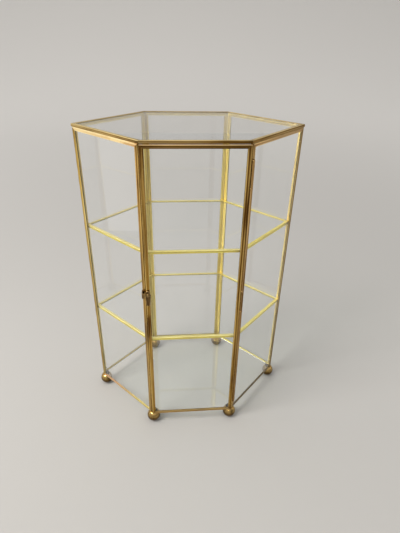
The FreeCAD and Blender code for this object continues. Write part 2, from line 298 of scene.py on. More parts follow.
brass, given, shown = new_group(
    "aged_brass",
    {
        "Surface": "Vector", "Rubbed": "Float", "Joint": "Float",
        "Bright": "Color", "Body": "Color", "Stain": "Color",
        "Streaks": "Float", "Tarnish": "Float", "Polish": "Float",
    },
    {"Color": "Color", "Roughness": "Float", "Height": "Float"},
)
surface = given["Surface"]
streak_cells = (9, 900, 900)
patch_cells = (24, 110, 110)
line_cells = (3, 620, 620)
speck_cells = (420, 560, 560)
streak_mean = 0.5
rub_and_light_strength = 0.85
joint_darkening = 0.8
speck_grime = 0.6
hollow_grime = 1.25
patch_dulling = 0.06
soil_dulling = 0.2
# Long streaks, bright and dark, and below them long dark lines run along each bar: drawing marks,
# and painted reflection lines as well.
streak = spread_of(brass, cloud_of(brass, surface, streak_cells, detail=3.0), low=0.34, high=0.66)
patch = spread_of(brass, cloud_of(brass, surface, patch_cells, detail=5.0), low=0.42, high=0.68)
line = spread_of(brass, cloud_of(brass, surface, line_cells, detail=2.0), low=0.46, high=0.34)
speck = spread_of(brass, cloud_of(brass, surface, speck_cells, detail=2.0), low=0.62, high=0.7)
drawn_and_reflected = maths(brass, "SUBTRACT", streak, streak_mean)
drawn_and_reflected = maths(brass, "MULTIPLY", drawn_and_reflected, given["Streaks"])
rubbed_and_lit_share = maths(brass, "MULTIPLY", given["Rubbed"], rub_and_light_strength)
worn_and_lit = maths(brass, "ADD", rubbed_and_lit_share, drawn_and_reflected, clamp=True)
metal = colours_mixed(brass, worn_and_lit, given["Body"], given["Bright"])
# Dark at the mitre joints, and on the front stiles also painted dark reflection and darkening
# towards the top.
grime_and_shade = maths(brass, "MULTIPLY", given["Joint"], joint_darkening)
grime_and_shade = maths(brass, "ADD", grime_and_shade, patch)
grime_and_shade = maths(brass, "ADD", grime_and_shade, maths(brass, "MULTIPLY", speck, speck_grime))
hollow = maths(brass, "SUBTRACT", hollow_grime, streak)
soiled_and_shaded = maths(brass, "MULTIPLY", maths(brass, "MULTIPLY", grime_and_shade, hollow), given["Tarnish"])
# Long dark lines along the bar, drawing marks and painted reflection lines alike.
lined = maths(brass, "MULTIPLY", line, given["Streaks"])
soiled_and_shaded = maths(brass, "ADD", soiled_and_shaded, lined, clamp=True)
brass.links.new(colours_mixed(brass, soiled_and_shaded, metal, given["Stain"]), shown["Color"])
patchy = maths(brass, "MULTIPLY", patch, patch_dulling)
dull = maths(brass, "ADD", patchy, maths(brass, "MULTIPLY", soiled_and_shaded, soil_dulling))
brass.links.new(maths(brass, "ADD", dull, given["Polish"]), shown["Roughness"])
brass.links.new(maths(brass, "ADD", streak, patch), shown["Height"])


def brass_finish(name, bright, body, stain_and_shade, streaks, tarnish_and_shade, polish):
    """Aged brass in the colours given, along the piece's UV run; the colours also paint in the
    light and shade on the pieces that use them.
    """
    finish = bpy.data.materials.new(name)
    finish.use_nodes = True
    tree = finish.node_tree
    metal = tree.nodes["Principled BSDF"]
    feeds = {
        "Surface": node_in(tree, "ShaderNodeUVMap", {}, uv_map="run").outputs[0],
        "Rubbed": node_in(tree, "ShaderNodeAttribute", {}, attribute_name="rubbed").outputs["Fac"],
        "Joint": node_in(tree, "ShaderNodeAttribute", {}, attribute_name="joint").outputs["Fac"],
        "Bright": (*bright, 1), "Body": (*body, 1), "Stain": (*stain_and_shade, 1),
        "Streaks": streaks, "Tarnish": tarnish_and_shade, "Polish": polish,
    }
    aged = node_in(tree, "ShaderNodeGroup", feeds, node_tree=brass).outputs
    feeds = {"Height": aged["Height"], "Strength": relief_strength, "Distance": relief_depth}
    relief = node_in(tree, "ShaderNodeBump", feeds).outputs[0]
    tree.links.new(aged["Color"], metal.inputs["Base Color"])
    tree.links.new(aged["Roughness"], metal.inputs["Roughness"])
    tree.links.new(relief, metal.inputs["Normal"])
    metal.inputs["Metallic"].default_value = 1.0
    return finish


def draw_for(name):
    """A random draw that depends on the piece's name alone."""
    return np.random.default_rng(zlib.crc32(name.encode()))


def panel_channels(panel, body, finishes, usual, rub_and_light_profiles, dark_reflection_heights):
    """The four lengths of channel round a wall's or the door's pane, one piece for each CAD node.
    A side of the outline belongs to the node whose box has its centre nearest the side's middle.
    On a listed front stile the colour darkens towards the stain colour with the square of the
    height, and a bell curve of the height paints a dark reflection round one place."""
    at = sum(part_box(f"{panel}_pane"), Vector()) / 2
    outline, out = pane_outline(f"{panel}_pane", np.array([at.x, at.y, 0.0]))
    outer = moved_inward(outline, out, np.full(4, -web_to_glass))
    bars = [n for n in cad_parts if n.startswith(panel) and n.endswith(("_rail", "_stile"))]
    centres = np.array([sum(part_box(n), Vector()) / 2 for n in bars])
    middles = (outer + np.roll(outer, -1, 0)) / 2
    owners = [bars[i] for i in np.linalg.norm(middles[:, None] - centres, axis=2).argmin(1)]
    faces = np.array([stile_face if n.endswith("_stile") else rail_face for n in owners])
    inner = moved_inward(outer, out, faces)
    for side, node in enumerate(owners):
        rubbed = rub_and_light_profiles.get(node, edge_rub_and_light)
        grid = channel_bar(outer, inner, side, out, faces[side], rubbed, draw_for(node))
        # On these stiles the colour darkens with the square of the height, and the bell curve below
        # paints a dark reflection across the stile round one height.
        if node in dark_reflection_heights:
            height = grid["points"][..., 2] - outer[:, 2].min()
            smear = np.exp(-(((height - dark_reflection_heights[node]) / dark_reflection_reach) ** 2))
            darker_up = stile_top_darkening * (height / np.ptp(outer[:, 2])) ** 2
            grid["joint"] = grid["joint"] + darker_up + dark_reflection_depth * smear
        finish = finishes.get(node, usual)
        grid_piece(f"{node}_channel", [grid], finish, body, [node])


# These sets of colours are all the same brass. Beside its own tarnish, each set paints in the light
# and shade that its bars show: amber on the front stiles is painted shade, cream on the left front
# top rail and copper on the right one are painted light from the left and painted shade on the
# right, grey on the right front bottom rail is a painted reflection of the case's shadow, the dark
# body and bright edge of the front posts are painted shade and painted reflection lines, and olive,
# straw and yellow on the rear posts and back bars are painted skylight. The left front bottom rail
# goes from copper to yellow along its length.
amber_brass = brass_finish(
    "amber_brass",
    bright=(0.9, 0.64, 0.22), body=(0.42, 0.228, 0.036), stain_and_shade=(0.12, 0.05, 0.009),
    streaks=0.8, tarnish_and_shade=0.55, polish=0.14,
)
olive_brass = brass_finish(
    "olive_brass",
    bright=(1.0, 0.9, 0.42), body=(0.74, 0.56, 0.12), stain_and_shade=(0.36, 0.24, 0.04),
    streaks=0.9, tarnish_and_shade=0.4, polish=0.44,
)
cream_brass = brass_finish(
    "cream_brass",
    bright=(1.0, 0.88, 0.52), body=(1.0, 0.78, 0.4), stain_and_shade=(0.52, 0.27, 0.1),
    streaks=0.6, tarnish_and_shade=0.5, polish=0.45,
)
worn_copper_brass = brass_finish(
    "worn_copper_brass",
    bright=(0.94, 0.88, 0.34), body=(0.82, 0.54, 0.33), stain_and_shade=(0.46, 0.25, 0.12),
    streaks=0.4, tarnish_and_shade=0.5, polish=0.5,
)
straw_brass = brass_finish(
    "straw_brass",
    bright=(0.98, 0.91, 0.38), body=(0.72, 0.62, 0.12), stain_and_shade=(0.34, 0.26, 0.03),
    streaks=0.8, tarnish_and_shade=0.5, polish=0.5,
)
yellow_brass = brass_finish(
    "yellow_brass",
    bright=(1.0, 0.9, 0.42), body=(0.9, 0.72, 0.26), stain_and_shade=(0.48, 0.29, 0.07),
    streaks=0.6, tarnish_and_shade=0.5, polish=0.45,
)
post_brass = brass_finish(
    "post_brass",
    bright=(1.0, 0.82, 0.42), body=(0.24, 0.135, 0.018), stain_and_shade=(0.12, 0.06, 0.01),
    streaks=0.4, tarnish_and_shade=0.4, polish=0.3,
)
gold_post_brass = brass_finish(
    "gold_post_brass",
    bright=(1.0, 0.86, 0.4), body=(0.52, 0.33, 0.06), stain_and_shade=(0.16, 0.08, 0.012),
    streaks=0.5, tarnish_and_shade=0.4, polish=0.34,
)
copper_brass = brass_finish(
    "copper_brass",
    bright=(0.98, 0.74, 0.34), body=(0.5, 0.28, 0.1), stain_and_shade=(0.16, 0.085, 0.03),
    streaks=0.8, tarnish_and_shade=0.5, polish=0.14,
)
grey_brass = brass_finish(
    "grey_brass",
    bright=(0.55, 0.42, 0.22), body=(0.24, 0.17, 0.09), stain_and_shade=(0.08, 0.055, 0.03),
    streaks=0.6, tarnish_and_shade=0.6, polish=0.2,
)
# Painted light and shade bar by bar, on the one brass.
wall_finishes = {
    "right_front_wall_front_stile": amber_brass,
    "left_front_wall_front_stile": amber_brass,
    "left_front_wall_bottom_rail": worn_copper_brass,
    "right_front_wall_bottom_rail": grey_brass,
    "left_front_wall_top_rail": cream_brass,
    "right_front_wall_top_rail": copper_brass,
    "left_front_wall_side_stile": gold_post_brass,
    "right_front_wall_side_stile": post_brass,
    "left_rear_wall_side_stile": yellow_brass,
    "right_rear_wall_side_stile": yellow_brass,
    "right_rear_wall_bottom_rail": straw_brass,
    "left_rear_wall_bottom_rail": yellow_brass,
}
wall_rub_and_light = {
    "left_front_wall_side_stile": post_rub_and_light,
    "right_front_wall_side_stile": post_rub_and_light,
    "left_front_wall_bottom_rail": brighter_to_one_end,
}
# Heights of the painted dark reflections across the two front stiles.
wall_dark_reflections = {"left_front_wall_front_stile": 106 * MM, "right_front_wall_front_stile": 230 * MM}
walls = ("right_front_wall", "right_rear_wall", "back_wall", "left_rear_wall", "left_front_wall")
for wall in walls:
    panel_channels(wall, "cabinet", wall_finishes, olive_brass, wall_rub_and_light, wall_dark_reflections)

# Panes of the whole case. Thin picture glass is cut to size and slides into the channels. Handling
# leaves faint smudges, drawn glass is never quite flat, and a cut edge is rubbed down to a frost.
smudged_glass, given, shown = new_group(
    "smudged_glass",
    {"Surface": "Vector", "Edge": "Float"},
    {"Color": "Color", "Roughness": "Float", "Height": "Float"},
)
smear_cells = (26, 26, 18)
sway_cells = (14, 14, 6)
clean_tint = (0.994, 0.998, 0.996, 1)
smeared_tint = (0.97, 0.978, 0.976, 1)
lamp_tint = (0.97, 0.98, 0.975, 1)
smear_dulling = 0.035
edge_frost = 0.6
glass_ior = 1.5
glass_waver = 0.4 * MM
waver_strength = 0.12
cloud = cloud_of(smudged_glass, given["Surface"], smear_cells, detail=5.0)
smear = spread_of(smudged_glass, cloud, low=0.5, high=0.78)
sway = cloud_of(smudged_glass, given["Surface"], sway_cells, detail=1.0)
wiped = colours_mixed(smudged_glass, smear, clean_tint, smeared_tint)
smeared = maths(smudged_glass, "MULTIPLY", smear, smear_dulling)
frosted = maths(smudged_glass, "MULTIPLY", given["Edge"], edge_frost)
smudged_glass.links.new(wiped, shown["Color"])
smudged_glass.links.new(maths(smudged_glass, "ADD", smeared, frosted), shown["Roughness"])
smudged_glass.links.new(sway, shown["Height"])


def glass_finish(name, level):
    """Clear sheet glass that lets lamp light and the floor's own light straight through. A level
    pane's upright sides are its cut edges; a wall's cut edges are all hidden in the channel."""
    finish = bpy.data.materials.new(name)
    finish.use_nodes = True
    tree = finish.node_tree
    clear = tree.nodes["Principled BSDF"]
    clear.inputs["Transmission Weight"].default_value = 1.0
    clear.inputs["IOR"].default_value = glass_ior
    feeds = {"Surface": node_in(tree, "ShaderNodeTexCoord", {}).outputs["Object"], "Edge": 0.0}
    if level:
        facing = node_in(tree, "ShaderNodeNewGeometry", {}).outputs["True Normal"]
        upward = node_in(tree, "ShaderNodeSeparateXYZ", {0: facing}).outputs["Z"]
        feeds["Edge"] = spread_of(tree, maths(tree, "ABSOLUTE", upward), low=0.8, high=0.2)
    smudges = node_in(tree, "ShaderNodeGroup", feeds, node_tree=smudged_glass).outputs
    feeds = {"Height": smudges["Height"], "Strength": waver_strength, "Distance": glass_waver}
    waver = node_in(tree, "ShaderNodeBump", feeds).outputs[0]
    tree.links.new(smudges["Color"], clear.inputs["Base Color"])
    tree.links.new(smudges["Roughness"], clear.inputs["Roughness"])
    tree.links.new(waver, clear.inputs["Normal"])
    lamp_way = node_in(tree, "ShaderNodeBsdfTransparent", {"Color": lamp_tint}).outputs[0]
    ray = node_in(tree, "ShaderNodeLightPath", {}).outputs
    pane = clear.outputs[0]
    for kind in ("Is Diffuse Ray", "Is Shadow Ray"):
        pane = node_in(tree, "ShaderNodeMixShader", {0: ray[kind], 1: pane, 2: lamp_way}).outputs[0]
    tree.links.new(pane, tree.nodes["Material Output"].inputs["Surface"])
    return finish


wall_glass = glass_finish("wall_glass", level=False)
level_glass = glass_finish("level_glass", level=True)
for node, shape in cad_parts.items():
    if node.endswith("_pane"):
        upright = node.endswith(("_wall_pane", "door_pane"))
        shape.data.materials.clear()
        shape.data.materials.append(wall_glass if upright else level_glass)

# Solder in the outer grooves between neighbouring walls. It is run in with an iron from bottom to
# top, so its rounded face swells and thins along the corner, and it is coloured like the brass.
ACROSS, DEEP, UP = np.eye(3)
FRONT_LEFT, FRONT_RIGHT, RIGHT, REAR_RIGHT, REAR_LEFT, LEFT = range(6)
shelf_gap = 0.3 * MM
seam_end_gap = 1.0 * MM
seam_bulge = 0.65 * MM
seam_set_back = 0.3 * MM
seam_reach = channel_depth - seam_set_back
seam_stations = 161
seam_face_points = 11
seam_waves = 5
seam_wave_rate = (60, 420)
seam_fullness = 0.62
seam_swing = 0.38
seam_rub = 0.5


def from_front_left(outline):
    """A six-sided outline that starts at its front left corner, the one whose distances across and
    deep add up to least."""
    return np.roll(outline, -int(outline[:, :2].sum(1).argmin()), 0)


# The plan of the walls' inner faces is a shelf's outline moved out by its web and the gap round it.
shelf_outline = from_front_left(pane_outline("lower_shelf_pane", UP)[0])
inner_plan = moved_inward(shelf_outline, UP, np.full(6, -web_to_glass - shelf_gap))
inner_plan = inner_plan * np.array([1.0, 1.0, 0.0])
plan_along = unit(np.roll(inner_plan, -1, 0) - inner_plan)
plan_out = np.cross(plan_along, UP)
wall_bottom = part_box("base_pane")[0].z
wall_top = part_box("top_rim")[0].z


def solder_seam(corner, draw):
    """A bead in a groove: from one wall's outer edge to the other's the face is a straight chord
    lifted outward by a sine bulge, the groove's bottom closes the ring, and the bulge is carried up
    the corner while a sum of sines in the height swells and thins it."""
    height = np.linspace(wall_bottom + seam_end_gap, wall_top - seam_end_gap, seam_stations)
    apex = inner_plan[corner]
    first = apex + plan_out[corner - 1] * seam_reach
    last = apex + plan_out[corner] * seam_reach
    over = np.linspace(0, 1, seam_face_points)
    lift = unit(plan_out[corner - 1] + plan_out[corner])
    rates = draw.uniform(*seam_wave_rate, seam_waves)
    phases = draw.uniform(0, wave_phase, seam_waves)
    swell = np.sin(height[:, None] * rates + phases).mean(1)
    bulge = seam_bulge * (seam_fullness + seam_swing * swell)
    chord = first + (last - first) * over[:, None]
    face = chord + lift * (np.sin(np.pi * over) * bulge[:, None])[..., None]
    ring = np.concatenate([face, np.broadcast_to(apex, (seam_stations, 1, 3))], 1)
    rubbed = np.append(np.sin(np.pi * over) ** 2, 0) * seam_rub
    points = ring + UP * height[:, None, None]
    return closed_grid(points, height, ring_lengths(ring[0]), rubbed, 0.0, draw)


solder_brass = brass_finish(
    "solder_brass",
    bright=(0.7, 0.54, 0.26), body=(0.34, 0.24, 0.08), stain_and_shade=(0.11, 0.07, 0.025),
    streaks=0.6, tarnish_and_shade=0.6, polish=0.28,
)
seams = {"right": RIGHT, "rear_right": REAR_RIGHT, "rear_left": REAR_LEFT, "left": LEFT}
for side, corner in seams.items():
    node = f"{side}_corner_seam"
    bead = solder_seam(corner, draw_for(node))
    grid_piece(f"{node}_bead", [bead], solder_brass, "cabinet", [node])

# Six ball feet. Each is a brass ball turned with a short neck, filed flat where it stands, and
# soldered under a corner of the frame, where a little solder gathers round the neck.
foot_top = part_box("ball_feet")[1].z
foot_radius = 7.0 * MM
foot_flat = 2.0 * MM
foot_neck = 3.5 * MM
foot_collar = 4.2 * MM
foot_inset = 1.0 * MM
turned_steps = 64
ball_points = 40
neck_points = 9
neck_root = foot_neck * 1.12
foot_light_rise = 2.6
foot_light_start = 1.35
foot_light_most = 0.75
foot_centre = math.sqrt(foot_radius**2 - foot_flat**2)
foot_places = moved_inward(inner_plan, UP, np.full(6, foot_inset))


def turned(profile, place, axis, rubbed, draw):
    """A profile of radius and height turned about a line: each of its points is carried round a
    circle square to the axis, and the flat ends are closed."""
    turn = np.linspace(0, 2 * np.pi, turned_steps, endpoint=False)[:, None]
    circle = np.cos(turn) * ACROSS + np.sin(turn) * np.cross(axis, ACROSS)
    points = circle * profile[:, :1, None] + axis * profile[:, 1:, None] + place
    run = np.append(0, np.cumsum(np.linalg.norm(np.diff(profile, axis=0), axis=1)))
    around = np.linspace(0, 2 * np.pi, turned_steps + 1) * profile[:, 0].max()
    return closed_grid(points, run, around, rubbed[:, None], 0.0, draw)


# The ball is an arc from its filed flat up to the neck's root. A half sine draws the neck in to its
# waist, and the fourth power of the rise flares it to its collar.
ball_from = -math.acos(foot_flat / foot_radius)
ball_to = math.acos(neck_root / foot_radius)
ball = np.linspace(ball_from, ball_to, ball_points)
ball_profile = np.stack([foot_radius * np.cos(ball), foot_centre + foot_radius * np.sin(ball)], 1)
neck_start, neck_base = ball_profile[-1]
rise = np.linspace(0, 1, neck_points)[1:]
waist = (foot_neck - neck_start) * np.sin(np.pi * rise) + (foot_collar - neck_start) * rise**4
neck_profile = np.stack([neck_start + waist, neck_base + (foot_top - neck_base) * rise], 1)
foot_profile = np.concatenate([ball_profile, neck_profile])
# The ball goes from its dark body colour below to its bright colour over the top: painted light on
# the top of each ball and painted shade under it.
foot_top_light = foot_profile[:, 1] / foot_top * foot_light_rise - foot_light_start
foot_top_light = np.clip(foot_top_light, 0, foot_light_most)
foot_brass = brass_finish(
    "foot_brass",
    bright=(0.86, 0.58, 0.21), body=(0.12, 0.066, 0.018), stain_and_shade=(0.05, 0.026, 0.008),
    streaks=0.2, tarnish_and_shade=0.7, polish=0.08,
)
feet = [
    turned(foot_profile, place, UP, foot_top_light, draw_for(f"foot{count}"))
    for count, place in enumerate(foot_places)
]
grid_piece("turned_ball_feet", feet, foot_brass, "cabinet", ["ball_feet"])

# Two shelves and the top. Each is a six-sided pane in mitred channel: the shelves rest inside the
# walls on bent lugs, and the top lies on the wall tops, set in a little from their outer edge.
# The shelves' edging is pale yellow as painted skylight; the top's rim has a dark brown body,
# painted shade on its outer face, below bright flanks.
shelf_brass = brass_finish(
    "shelf_brass",
    bright=(1.0, 0.91, 0.42), body=(0.94, 0.8, 0.1), stain_and_shade=(0.46, 0.32, 0.05),
    streaks=0.5, tarnish_and_shade=0.4, polish=0.4,
)
rim_brass = brass_finish(
    "rim_brass",
    bright=(1.0, 0.8, 0.38), body=(0.26, 0.128, 0.012), stain_and_shade=(0.08, 0.036, 0.006),
    streaks=0.5, tarnish_and_shade=0.5, polish=0.36,
)
edge_sides = ("front", "right_front", "right_rear", "rear", "left_rear", "left_front")
flank_points = len(lip_to_web)
upper_flank = flank_points + 2
web_light_share = 0.35
top_flank = [0.2, 0.8, 1.0, 1.0, 0.6, 0.5, 0.5, 0.6, 1.0]
far_flank = [0.0, 0.0, 0.0, 0.1, 0.4, 0.6, 0.7, 0.9, 1.0]
top_rub_and_light = np.concatenate([np.zeros(upper_flank), top_flank, slot_brightening])
far_top_rub_and_light = np.concatenate([np.zeros(upper_flank), far_flank, slot_brightening])
# Each listed side of the rim and the edging takes its own share of painted light, and the shelves'
# right front and right rear edges a negative share of painted shade; the web takes part of it.
top_side_light = {"front": 0.4, "right_front": 0.15, "right_rear": 0.6, "left_front": 0.95}
shelf_flank = [0.0, 0.3, 0.9, 1, 1, 1, 0.9, 0.9, 0.9, 1, 1]
shelf_rub_and_light = np.concatenate([lip_to_web[:-2], [0.2, 0.0], shelf_flank, slot_brightening])
shelf_side_light = {"front": 0.5, "right_front": -0.7, "right_rear": -0.2, "left_front": 0.6}
side_light_share = np.where(np.arange(len(top_rub_and_light)) < upper_flank, web_light_share, 1.0)


def lit_sides(near_profile, side_light, far_profile):
    """Shares of rubbing and painted light of the six sides in turn: a side that has its own share
    of painted light adds it, painted shade where it is negative, in full on the upper flank and in
    part below, and a side that has none takes the far share."""
    return [
        np.clip(near_profile + side_light[side] * side_light_share, 0, 1) if side in side_light else far_profile
        for side in edge_sides
    ]


shelf_side_profiles = lit_sides(shelf_rub_and_light, shelf_side_light, shelf_rub_and_light)
top_side_profiles = lit_sides(top_rub_and_light, top_side_light, far_top_rub_and_light)
for level, rim, finish, rub_and_light_profiles in (
    ("lower_shelf", "edging", shelf_brass, shelf_side_profiles),
    ("upper_shelf", "edging", shelf_brass, shelf_side_profiles),
    ("top", "rim", rim_brass, top_side_profiles),
):
    outline = from_front_left(pane_outline(f"{level}_pane", UP)[0])
    outer = moved_inward(outline, UP, np.full(6, -web_to_glass))
    inner = moved_inward(outer, UP, np.full(6, rail_face))
    draw = draw_for(level)
    bars = [channel_bar(outer, inner, side, UP, rail_face, rub_and_light_profiles[side], draw) for side in range(6)]
    node = f"{level}_{rim}"
    grid_piece(f"{node}_channel", bars, finish, "cabinet", [node])

# Lugs under the shelves. Each is a short strip of sheet bent square over a former, soldered by its
# drop to a stile's inner face so that its ledge carries one corner of the shelf.
lug_width = 2.3 * MM
lug_sheet = 0.6 * MM
lug_drop = 3.5 * MM
lug_ledge = 2.4 * MM
sheet_bend = 0.55 * MM
eased_edge = 0.12 * MM
strip_stations = 12
bend_points = 7
eased_share = 0.6
cut_edge_rub = 0.8
sheet_rub = 0.2


def folded(corners, bend):
    """A flat path whose inner corners are rounded: each is replaced by a parabola between the
    points that lie one bend before it and one bend after it."""
    middle = corners[1:-1]
    before = middle + bend * unit(corners[:-2] - middle)
    after = middle + bend * unit(corners[2:] - middle)
    way = np.linspace(0, 1, bend_points)[None, :, None]
    curve = before[:, None] * (1 - way) ** 2
    curve = curve + middle[:, None] * 2 * way * (1 - way) + after[:, None] * way**2
    return np.concatenate([corners[:1], curve.reshape(-1, 2), corners[-1:]])


def sheet_strip(path, sheet, at, first, second, way, width, draw):
    """A strip of sheet whose edge follows a flat path: the path is thickened to both sides along
    its normals into a ring, and the ring is carried over the strip's width. It is thinner at the
    first and last ring, where the cut edge is eased with a file."""
    along = unit(np.gradient(path, axis=0))
    normal = np.stack([-along[:, 1], along[:, 0]], 1)
    middle = np.linspace(eased_edge, width - eased_edge, strip_stations)
    stations = np.concatenate([[0], middle, [width]])
    ease = np.where((stations == 0) | (stations == width), eased_share, 1.0)
    half = normal * np.broadcast_to(sheet, len(path))[:, None] / 2 * ease[:, None, None]
    ring = np.concatenate([path + half, (path - half)[:, ::-1]], 1)
    points = at + ring[..., :1] * first + ring[..., 1:] * second + way * stations[:, None, None]
    rubbed = np.where(ease < 1, cut_edge_rub, sheet_rub)[:, None]
    return closed_grid(points, stations, ring_lengths(ring[1]), rubbed, 0.0, draw)


def shelf_lug(corner, towards, top, draw):
    """One lug: the path goes up its drop and out along its ledge, half a sheet inside each face."""
    along = unit(inner_plan[towards] - inner_plan[corner])
    inward = np.cross(UP, along)
    inward = inward * -np.sign(inward @ inner_plan[corner])
    half = lug_sheet / 2
    path = folded(np.array([[half, -lug_drop], [half, -half], [lug_ledge, -half]]), sheet_bend)
    at = inner_plan[corner] + along * (stile_face - lug_width) / 2 + UP * top
    return sheet_strip(path, lug_sheet, at, inward, UP, along, lug_width, draw)


lug_brass = brass_finish(
    "lug_brass",
    bright=(1.0, 0.84, 0.36), body=(0.66, 0.48, 0.13), stain_and_shade=(0.24, 0.16, 0.04),
    streaks=0.5, tarnish_and_shade=0.4, polish=0.26,
)
lug_places = (
    (FRONT_LEFT, LEFT), (LEFT, FRONT_LEFT), (FRONT_RIGHT, RIGHT),
    (RIGHT, FRONT_RIGHT), (REAR_LEFT, REAR_RIGHT), (REAR_RIGHT, REAR_LEFT),
)
for node in ("lower_shelf_lugs", "upper_shelf_lugs"):
    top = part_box(node)[1].z
    lugs = [
        shelf_lug(corner, towards, top, draw_for(f"{node}{corner}"))
        for corner, towards in lug_places
    ]
    grid_piece(f"{node}_bent", lugs, lug_brass, "cabinet", [node])

# The door. It is framed as the walls are and lies over the front ends of the two side walls; its
# stiles are amber and its head dark brown as painted shade on the one brass, and its foot copper.
door_head_brass = brass_finish(
    "door_head_brass",
    bright=(1.0, 0.7, 0.34), body=(0.19, 0.1, 0.02), stain_and_shade=(0.07, 0.03, 0.008),
    streaks=0.5, tarnish_and_shade=0.5, polish=0.4,
)
# The head is bright along its front top fold and dark below: a painted highlight on the fold and
# painted shade on its face.
head_flank = [0.6, 1.0, 1.0, 1.0, 0.9, 0.3, 0.0, 0.0, 0.0, 0.0, 0.0]
head_rub_and_light = np.concatenate([np.zeros(flank_points), head_flank, slot_brightening])
foot_flank = [0.4, 0.8, 1.0, 1.0, 0.6, 0.2, 0.0, 0.1, 0.4, 1.0, 1.0]
foot_rail_rub_and_light = np.concatenate([lip_to_web, foot_flank, slot_brightening])
door_foot_brass = brass_finish(
    "door_foot_brass",
    bright=(0.82, 0.62, 0.26), body=(0.44, 0.25, 0.085), stain_and_shade=(0.16, 0.085, 0.025),
    streaks=0.7, tarnish_and_shade=0.4, polish=0.3,
)
door_finishes = {"door_top_rail": door_head_brass, "door_bottom_rail": door_foot_brass}
door_rub_and_light = {"door_top_rail": head_rub_and_light, "door_bottom_rail": foot_rail_rub_and_light}
# Heights of the painted dark reflections across the door's two stiles.
door_dark_reflections = {"door_latch_stile": 116 * MM, "door_hinge_stile": 232 * MM}
panel_channels("door", "door", door_finishes, amber_brass, door_rub_and_light, door_dark_reflections)

# Hinge. Three knuckles are rolled from sheet, each on a leaf soldered to the right post; two tubes
# are soldered along the door's edge, and one rod with a domed head runs down through all five.
hinge_low, hinge_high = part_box("hinge_rod")
hinge_axis = np.array([hinge_low.x + hinge_high.x, hinge_low.y + hinge_high.y, 0.0]) / 2
barrel_radius = 1.2 * MM
barrel_sheet = 0.55 * MM
barrel_middle = barrel_radius - barrel_sheet / 2
leaf_margin = 0.6 * MM
leaf_ramp = 1.2 * MM
rod_radius = 0.6 * MM
rod_head_radius = 1.1 * MM
rod_head_height = 0.7 * MM
rod_head_skirt = 0.3 * rod_head_height
rod_chamfer = 0.5 * rod_radius
rod_rub = 0.3
leaf_points = 15
knuckle_curl = np.radians(300)
curl_points = 41
tube_seam = np.radians(6)
tube_points = 49
dome_points = 8
dome_part = 0.9
hinge_brass = brass_finish(
    "hinge_brass",
    bright=(0.84, 0.6, 0.28), body=(0.34, 0.19, 0.055), stain_and_shade=(0.09, 0.04, 0.012),
    streaks=0.8, tarnish_and_shade=0.7, polish=0.18,
)

# The knuckle's path: the leaf lies on the post and rises to the barrel by a square law, and a
# circle about the rod's axis carries it on round.
post_edge = inner_plan[FRONT_RIGHT] + plan_out[FRONT_RIGHT] * channel_depth
axis_height = (hinge_axis - post_edge) @ plan_out[FRONT_RIGHT]
leaf_reach = stile_face - leaf_margin - (hinge_axis - post_edge) @ plan_along[FRONT_RIGHT]
leaf_way = np.linspace(leaf_reach, 0, leaf_points)
leaf_rise = np.clip(1 - leaf_way / leaf_ramp, 0, 1) ** 2
leaf_lift = axis_height - barrel_middle - barrel_sheet / 2
leaf_path = np.stack([leaf_way, barrel_sheet / 2 + leaf_lift * leaf_rise], 1)
curl = np.linspace(0, knuckle_curl, curl_points)[1:]
curl_path = np.stack([-barrel_middle * np.sin(curl), axis_height - barrel_middle * np.cos(curl)], 1)
knuckle_path = np.concatenate([leaf_path, curl_path])
knuckle_foot = hinge_axis - plan_out[FRONT_RIGHT] * axis_height
for node in ("hinge_lower_knuckle", "hinge_middle_knuckle", "hinge_upper_knuckle"):
    low, high = (corner.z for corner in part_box(node))
    knuckle = sheet_strip(
        knuckle_path, barrel_sheet, knuckle_foot + UP * low,
        plan_along[FRONT_RIGHT], plan_out[FRONT_RIGHT], UP, high - low, draw_for(node),
    )
    grid_piece(f"{node}_rolled", [knuckle], hinge_brass, "cabinet", [node])

# A tube is a circle left open at a narrow seam. A web of changing thickness joins it to the door.
roll = np.linspace(tube_seam, 2 * np.pi - tube_seam, tube_points)
tube_path = np.stack([-barrel_middle * np.cos(roll), barrel_middle * np.sin(roll)], 1)
door_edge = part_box("door_hinge_stile")[1].x - hinge_axis[0]
web_thickness = np.array([1.4, 1.15, 1.0, 0.95, 1.0, 1.1, 1.2]) * MM
web_way = np.linspace(door_edge, -barrel_middle, len(web_thickness))
web_path = np.stack([web_way, np.zeros(len(web_thickness))], 1)
for node in ("hinge_lower_tube", "hinge_upper_tube"):
    low, high = (corner.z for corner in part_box(node))
    place = (hinge_axis + UP * low, ACROSS, DEEP, UP, high - low, draw_for(node))
    tube = sheet_strip(tube_path, barrel_sheet, *place)
    web = sheet_strip(web_path, web_thickness, *place)
    grid_piece(f"{node}_rolled", [tube, web], hinge_brass, "door", [node])

# The rod's profile: a chamfered foot, a straight shank, and a head whose dome is most of a quarter
# ellipse above a short skirt.
head_base = hinge_high.z - rod_head_height
dome = np.linspace(0, dome_part, dome_points) * np.pi / 2
rod_dome = rod_head_skirt + (rod_head_height - rod_head_skirt) * np.sin(dome)
rod_profile = np.concatenate([
    [[rod_radius - rod_chamfer, hinge_low.z], [rod_radius, hinge_low.z + rod_chamfer]],
    [[rod_radius, head_base], [rod_head_radius, head_base]],
    np.stack([rod_head_radius * np.cos(dome), head_base + rod_dome], 1),
])
rod = turned(rod_profile, hinge_axis, UP, np.full(len(rod_profile), rod_rub), draw_for("hinge_rod"))
grid_piece("hinge_rod_turned", [rod], hinge_brass, "cabinet", ["hinge_rod"])

